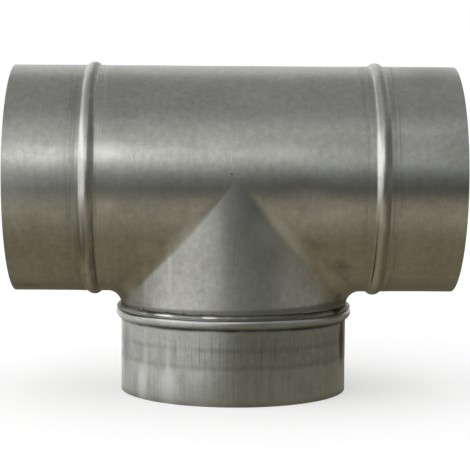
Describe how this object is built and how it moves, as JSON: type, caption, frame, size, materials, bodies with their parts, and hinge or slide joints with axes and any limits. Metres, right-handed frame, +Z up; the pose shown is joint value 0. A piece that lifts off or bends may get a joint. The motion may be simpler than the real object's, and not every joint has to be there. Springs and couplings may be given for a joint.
{
  "type": "galvanized connector tee",
  "caption": "Equal tee for round air ducting in bare galvanised sheet: a straight run with two male spigots, a branch spigot square to it, and a rolled stop bead at each.",
  "frame": {"origin": "centre of the branch's open end, on which the tee stands", "axes": "+Z up along the branch's axis, +X along the run, -Y the front that the picture shows"},
  "size_m": [0.24, 0.13, 0.1805],
  "materials": {
    "galvanised_sheet": "satin zinc, lightly scuffed"
  },
  "bodies": {
    "root": {"tee_body": "galvanised_sheet", "branch_collar": "galvanised_sheet"}
  },
  "joints": []
}
